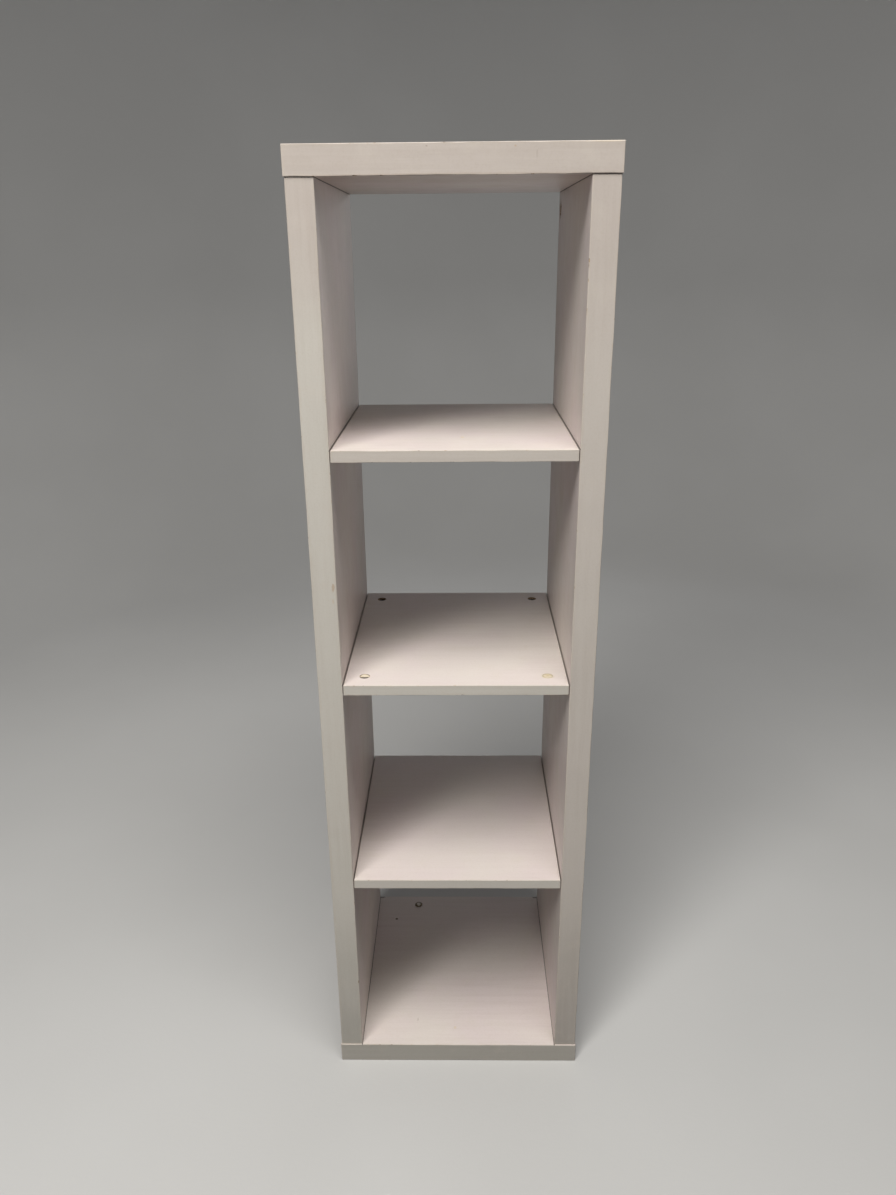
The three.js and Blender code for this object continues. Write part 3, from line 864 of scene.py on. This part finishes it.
def threaded(start, end, pitch, depth):
    """A ring shape whose radius follows a helical thread between two heights."""

    def shape(radius, height, angle):
        if not start <= height <= end:
            return radius
        phase = (height / pitch - angle / math.tau) % 1.0
        return radius - depth * abs(2.0 * phase - 1.0)

    return shape


def thread_rings(radius, start, end, pitch):
    """The profile's rings along a thread, close enough to carry its helix."""
    count = max(2, int((end - start) / pitch * RINGS_PER_TURN))
    return [(radius, start + (end - start) * step / count) for step in range(count + 1)]


def corner_screw(joint, inward):
    """A long screw with a flat head and a hexagonal socket, flush in the end board's outer face."""
    node = f"corner_screw_{joint}"
    low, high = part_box(node)
    centre = (low + high) / 2
    length = high.z - low.z
    head = (high.x - low.x) / 2
    edge = 0.5 * MM
    tip = 6 * MM
    pitch = 2.6 * MM
    thread_start = length * 0.52
    profile = [
        (0.0, 0.0),
        (head - edge, 0.0),
        (head, edge),
        (head, SCREW_HEAD_HEIGHT - edge),
        (head - edge, SCREW_HEAD_HEIGHT),
        (SCREW_SHANK * 0.93, SCREW_HEAD_HEIGHT),
        (SCREW_SHANK * 0.93, thread_start - MM),
        *thread_rings(SCREW_SHANK, thread_start, length - tip, pitch),
        (SCREW_SHANK * 0.5, length),
        (0.0, length),
    ]
    start = Vector((centre.x, centre.y, low.z if inward > 0 else high.z))
    shape = threaded(thread_start, length - tip, pitch, 0.9 * MM)
    direction = Vector((0.0, 0.0, inward))
    mesh = turned(node, profile, start, direction, 36, shape)
    piece = new_object(f"fine_{node}", mesh, steel)
    socket_start = start - direction * SPARE
    carve(piece, [rod(2.9 * MM, 3 * MM + SPARE, socket_start, direction, 6)])
    smooth(piece)
    stand_for(piece, node, "case")


def dowel(joint):
    """A fluted dowel across the joint of an end board and a side."""
    node = f"dowel_{joint}"
    low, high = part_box(node)
    centre = (low + high) / 2
    length = high.z - low.z
    flute_count = 16
    flute_depth = 0.25 * MM
    chamfer = 1.2 * MM

    def fluted(radius, height, angle):
        return radius - flute_depth * (0.5 - 0.5 * math.cos(flute_count * angle)) ** 3

    profile = [
        (0.0, 0.0),
        (DOWEL_RADIUS - chamfer, 0.0),
        (DOWEL_RADIUS - 0.2 * MM, chamfer * 0.7),
        (DOWEL_RADIUS, chamfer * 1.4),
        (DOWEL_RADIUS, length - chamfer * 1.4),
        (DOWEL_RADIUS - 0.2 * MM, length - chamfer * 0.7),
        (DOWEL_RADIUS - chamfer, length),
        (0.0, length),
    ]
    mesh = turned(node, profile, (centre.x, centre.y, low.z), UP, 96, fluted)
    piece = new_object(f"fine_{node}", mesh, beech)
    smooth(piece)
    stand_for(piece, node, "case")


def shelf_pin(shelf_name, side_name, end_name):
    """A pin whose stem sits in the side. The shelf rests over the flat of its head."""
    node = f"pin_{shelf_name}_{side_name}_{end_name}"
    low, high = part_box(node)
    inward = -SIDE_SIGNS[side_name]
    length = high.x - low.x
    axis_z = high.z - PIN_FLAT_HEIGHT
    start = Vector((low.x if inward > 0 else high.x, (low.y + high.y) / 2, axis_z))
    edge = 0.8 * MM
    profile = [
        (0.0, 0.0),
        (PIN_STEM_RADIUS - 0.4 * MM, 0.0),
        (PIN_STEM_RADIUS, 0.5 * MM),
        (PIN_STEM_RADIUS, PIN_STEM_LENGTH),
        (PIN_HEAD_RADIUS - 0.3 * MM, PIN_STEM_LENGTH),
        (PIN_HEAD_RADIUS, PIN_STEM_LENGTH + 0.3 * MM),
        (PIN_HEAD_RADIUS, length - edge),
        (PIN_HEAD_RADIUS - edge * 0.3, length - edge * 0.3),
        (PIN_HEAD_RADIUS - edge, length),
        (0.0, length),
    ]
    mesh = turned(node, profile, start, (inward, 0.0, 0.0), 40)
    piece = new_object(f"fine_{node}", mesh, steel)
    reach = 2 * length
    flat_low = (start.x - reach, start.y - reach, high.z)
    flat_high = (start.x + reach, start.y + reach, high.z + reach)
    carve(piece, [block(flat_low, flat_high)])
    smooth(piece)
    stand_for(piece, node, "case")


CAM_TURN = math.radians(150)
CAM_HOLLOW_RADIUS = 5.2 * MM
CAM_HOLLOW_HALF = 3.8 * MM
CAM_SLIT_HALF = 2.6 * MM
CAM_CROSS_HALF_LENGTH = 4.5 * MM
CAM_CROSS_HALF_WIDTH = 0.8 * MM


def cam(end_name, side_name):
    """A cam that holds the bolt's head in its hollow. The slit and window let the bolt through."""
    node = f"cam_{end_name}_{side_name}"
    low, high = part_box(node)
    centre = (low + high) / 2
    axis_z = centre_of(f"cam_bolt_{end_name}_{side_name}").z
    bottom, top = low.z - axis_z, high.z - axis_z
    edge = 0.4 * MM
    profile = [
        (0.0, bottom),
        (CAM_RADIUS - edge, bottom),
        (CAM_RADIUS, bottom + edge),
        (CAM_RADIUS, top - edge),
        (CAM_RADIUS - edge, top),
        (0.0, top),
    ]
    piece = new_object(f"fine_{node}", mesh_of(turned_bmesh(profile, 64), node), dark_zinc_with_painted_shade)
    slit_margin = math.radians(32)
    window_margin = math.radians(46)
    outside = CAM_RADIUS * 1.5
    slit = sector(outside, -CAM_TURN - window_margin, slit_margin, -CAM_SLIT_HALF, CAM_SLIT_HALF)
    window_start = -CAM_TURN - window_margin
    window_end = -CAM_TURN + window_margin
    window = sector(outside, window_start, window_end, -CAM_HOLLOW_HALF, CAM_HOLLOW_HALF)
    hollow = rod(CAM_HOLLOW_RADIUS, 2 * CAM_HOLLOW_HALF, (0.0, 0.0, -CAM_HOLLOW_HALF), UP)
    cross_low = CAM_HOLLOW_HALF - MM
    length, width = CAM_CROSS_HALF_LENGTH, CAM_CROSS_HALF_WIDTH
    bars = [
        block((-length, -width, cross_low), (length, width, top + SPARE)),
        block((-width, -length, cross_low), (width, length, top + SPARE)),
    ]
    carve(piece, [hollow, slit, window, *bars])
    towards_bolt = 0.0 if SIDE_SIGNS[side_name] > 0 else math.pi
    place = Matrix.Translation((centre.x, centre.y, axis_z)) @ Matrix.Rotation(towards_bolt, 4, "Z")
    piece.data.transform(place)
    smooth(piece)
    stand_for(piece, node, node)


def cam_bolt(end_name, side_name):
    """A bolt screwed into the side, with a sleeve, a neck, and the head that the cam holds."""
    node = f"cam_bolt_{end_name}_{side_name}"
    low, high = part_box(node)
    inward = -SIDE_SIGNS[side_name]
    length = high.x - low.x
    centre = (low + high) / 2
    sleeve = (high.z - low.z) / 2
    cam_x = centre_of(f"cam_{end_name}_{side_name}").x
    start = Vector((low.x if inward > 0 else high.x, centre.y, centre.z))
    sleeve_end = abs(cam_x - start.x) - CAM_RADIUS - 2 * FIT
    head_radius, head_length, neck_radius = 3.3 * MM, 3 * MM, 2.2 * MM
    edge = 0.4 * MM
    profile = [
        (0.0, 0.0),
        (BOLT_THREAD_RADIUS * 0.6, 0.0),
        *thread_rings(BOLT_THREAD_RADIUS, MM, BOLT_THREAD_LENGTH - MM, FINE_PITCH),
        (BOLT_THREAD_RADIUS * 0.85, BOLT_THREAD_LENGTH),
        (sleeve - edge, BOLT_THREAD_LENGTH),
        (sleeve, BOLT_THREAD_LENGTH + edge),
        (sleeve, sleeve_end - edge),
        (sleeve - edge, sleeve_end),
        (neck_radius, sleeve_end),
        (neck_radius, length - head_length),
        (head_radius - edge, length - head_length),
        (head_radius, length - head_length + edge),
        (head_radius, length - edge),
        (head_radius - edge, length),
        (0.0, length),
    ]
    shape = threaded(MM, BOLT_THREAD_LENGTH - MM, FINE_PITCH, 0.6 * MM)
    mesh = turned(node, profile, start, (inward, 0.0, 0.0), 36, shape)
    piece = new_object(f"fine_{node}", mesh, steel)
    smooth(piece)
    stand_for(piece, node, "case")


def cam_cap(side_name, tone, tilt, rise, rim_share, near_rim_shadow_share):
    """A thin pressed-in disc with a rounded rim and the small pip of its moulding."""
    node = f"cam_cap_front_{side_name}"
    low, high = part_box(node)
    centre = (low + high) / 2
    radius = (high.x - low.x) / 2
    thickness = high.z - low.z
    edge = 0.3 * MM
    pip = 0.7 * MM
    profile = [
        (0.0, 0.0),
        (radius - edge, 0.0),
        (radius, edge),
        (radius, thickness - edge),
        (radius - edge * 0.3, thickness - edge * 0.3),
        (radius - edge, thickness - 0.04 * MM),
        (pip * 1.5, thickness - 0.12 * MM),
        (pip, thickness - 0.3 * MM),
        (0.0, thickness - 0.3 * MM),
    ]
    bm = turned_bmesh(profile, 64)
    place = Matrix.Translation((centre.x, centre.y, low.z + rise))
    bm.transform(place @ Matrix.Rotation(tilt, 4, "X"))
    material = cap_material(f"cap_plastic_{side_name}", tone, centre, radius, rim_share, near_rim_shadow_share)
    piece = new_object(f"fine_{node}", mesh_of(bm, node), material)
    smooth(piece)
    stand_for(piece, node, "case")


def added_screw_and_washer():
    """The pan-head screw and the washer that someone added in the bottom compartment."""
    washer_low, washer_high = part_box("added_washer")
    washer_radius = (washer_high.x - washer_low.x) / 2
    washer_thickness = washer_high.z - washer_low.z
    inner = 2.4 * MM
    edge = 0.25 * MM
    ring = [
        (inner, edge),
        (inner + edge, 0.0),
        (washer_radius - edge, 0.0),
        (washer_radius, edge),
        (washer_radius, washer_thickness - edge),
        (washer_radius - edge, washer_thickness),
        (inner + edge, washer_thickness),
        (inner, washer_thickness - edge),
        (inner, edge),
    ]
    bm = turned_bmesh(ring, 64)
    bmesh.ops.remove_doubles(bm, verts=bm.verts, dist=0.001 * MM)
    at = (added_centre.x, added_centre.y, washer_low.z)
    washer_mesh = mesh_of(turn_to(bm, at, UP), "added_washer")
    washer = new_object("fine_added_washer", washer_mesh, tarnished_steel)
    smooth(washer)
    stand_for(washer, "added_washer", "case")

    low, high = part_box("added_screw")
    head_radius = (high.x - low.x) / 2
    length = high.z - low.z
    head_height = high.z - washer_high.z
    crown = 8
    dome = []
    for step in range(crown + 1):
        angle = math.pi / 2 * step / crown
        dome.append((head_radius * math.sin(angle), head_height * 0.75 * (1.0 - math.cos(angle))))
    thread_start = head_height + 2 * MM
    thread_end = length - 4 * MM
    profile = [
        *dome,
        (head_radius, head_height),
        (ADDED_SHANK, head_height),
        *thread_rings(ADDED_SHANK, thread_start, thread_end, FINE_PITCH),
        (0.3 * MM, length),
        (0.0, length),
    ]
    shape = threaded(thread_start, thread_end, FINE_PITCH, 0.5 * MM)
    screw_top = Vector((added_centre.x, added_centre.y, high.z))
    screw_mesh = turned("added_screw", profile, screw_top, DOWN, 40, shape)
    screw = new_object("fine_added_screw", screw_mesh, steel)
    slot_length, slot_width, slot_depth = 2.3 * MM, 0.5 * MM, 1.4 * MM
    slots = []
    for turn in (0.35, 0.35 + math.pi / 2):
        bar = block((-slot_length, -slot_width, -slot_depth), (slot_length, slot_width, SPARE))
        bar.transform(Matrix.Translation(screw_top) @ Matrix.Rotation(turn, 4, "Z"))
        slots.append(bar)
    carve(screw, slots)
    smooth(screw)
    stand_for(screw, "added_screw", "case")


for end_board, inward in (("bottom", 1.0), ("top", -1.0)):
    for side_name in SIDE_NAMES:
        for end_name in END_NAMES:
            corner_screw(f"{end_board}_{side_name}_{end_name}", inward)
            dowel(f"{end_board}_{side_name}_{end_name}")

for side_name in SIDE_NAMES:
    for end_name in END_NAMES:
        cam(end_name, side_name)
        cam_bolt(end_name, side_name)
        shelf_pin("lower", side_name, end_name)
        shelf_pin("upper", side_name, end_name)

# the left cap's last share paints the shadow of its hole's near rim
cam_cap("left", (0.72, 0.65, 0.54), math.radians(8.0), 0.9 * MM, 0.3, 0.95)
cam_cap("right", (0.68, 0.61, 0.49), 0.0, 0.0, 0.3, 0.0)
added_screw_and_washer()


# ---- floor, light and camera ----

FLOOR_RADIUS = 2.3
SWEEP_RADIUS = 1.2
SWEEP_STEPS = 28
WALL_TOP = 7.0

CEILING_POWER = 206.0
CEILING_PLACE = (-0.9, -2.05, 3.7)
CEILING_LENGTH = 4.4
CEILING_WIDTH = 1.0
CEILING_TURN_DEGREES = 38.5
REAR_FILL_STRENGTH = 0.5
REAR_FILL_DIRECTION = (-0.14, -0.98, -0.14)
REAR_FILL_SPREAD_DEGREES = 35
AMBIENT_STRENGTH = 0.105

EYE = (0.009, -1.395, 1.341)
LENS_MM = 27.25
SENSOR_MM = 36.0
TILT_DOWN_DEGREES = 21.08
PAN_DEGREES = 0.93
ROLL_DEGREES = -0.54


def studio_floor():
    """A round pale floor that sweeps up into a wall all round.

    It throws no diffuse light back onto the bookcase, and casts no shadow, so that the low light from
    behind gets in.
    """
    profile = [(0.0, 0.0)]
    for step in range(SWEEP_STEPS + 1):
        angle = math.pi / 2 * step / SWEEP_STEPS
        radius = FLOOR_RADIUS + SWEEP_RADIUS * math.sin(angle)
        profile.append((radius, SWEEP_RADIUS * (1.0 - math.cos(angle))))
    profile.append((FLOOR_RADIUS + SWEEP_RADIUS, WALL_TOP))
    mesh = mesh_of(turned_bmesh(profile, 128), "studio_floor")
    mesh.flip_normals()
    floor = new_object("studio_floor", mesh, floor_material())
    for face in floor.data.polygons:
        face.use_smooth = True
    floor.visible_diffuse = False
    floor.visible_shadow = False


def floor_material():
    nodes = Nodes("pale_floor")
    clouds = nodes.noise(nodes.place, 1.3, detail=3.0)
    fine = nodes.noise(nodes.place, 160.0, detail=3.0)
    colour = nodes.mix(nodes.fade(clouds, 0.3, 0.7), (0.56, 0.555, 0.54), (0.53, 0.525, 0.51))
    relief = nodes.bump(fine, 0.2 * MM)
    return nodes.finish(colour, 0.6, relief)


def lamp(name, kind, power, colour, rotation):
    light = bpy.data.lights.new(name, kind)
    light.energy = power
    light.color = colour
    holder = bpy.data.objects.new(name, light)
    bpy.context.scene.collection.objects.link(holder)
    holder.rotation_mode = "QUATERNION"
    holder.rotation_quaternion = rotation
    return holder


def lights():
    """A long soft ceiling light in front, running over to the left, and a weak low light from behind."""
    turn = Euler((0.0, 0.0, math.radians(CEILING_TURN_DEGREES))).to_quaternion()
    ceiling = lamp("ceiling_light", "AREA", CEILING_POWER, (1.0, 0.985, 0.96), turn)
    ceiling.location = CEILING_PLACE
    ceiling.data.shape = "RECTANGLE"
    ceiling.data.size = CEILING_LENGTH
    ceiling.data.size_y = CEILING_WIDTH
    low_from_behind = Vector(REAR_FILL_DIRECTION).to_track_quat("-Z", "Y")
    fill = lamp("rear_fill", "SUN", REAR_FILL_STRENGTH, (0.97, 0.98, 1.0), low_from_behind)
    fill.data.angle = math.radians(REAR_FILL_SPREAD_DEGREES)
    world = bpy.data.worlds.new("studio")
    world.use_nodes = True
    background = world.node_tree.nodes["Background"]
    background.inputs["Color"].default_value = (0.96, 0.97, 1.0, 1.0)
    background.inputs["Strength"].default_value = AMBIENT_STRENGTH
    bpy.context.scene.world = world


def camera():
    """A phone camera at standing height, a step and a half in front, tilted down."""
    data = bpy.data.cameras.new("camera")
    data.lens = LENS_MM
    data.sensor_width = SENSOR_MM
    eye = bpy.data.objects.new("camera", data)
    bpy.context.scene.collection.objects.link(eye)
    eye.location = EYE
    eye.rotation_mode = "QUATERNION"
    aim = Euler((math.radians(90.0 - TILT_DOWN_DEGREES), 0.0, math.radians(PAN_DEGREES))).to_quaternion()
    eye.rotation_quaternion = aim @ Quaternion(UP, math.radians(ROLL_DEGREES))
    bpy.context.scene.camera = eye


studio_floor()
lights()
camera()
bpy.context.scene.view_settings.view_transform = "Standard"
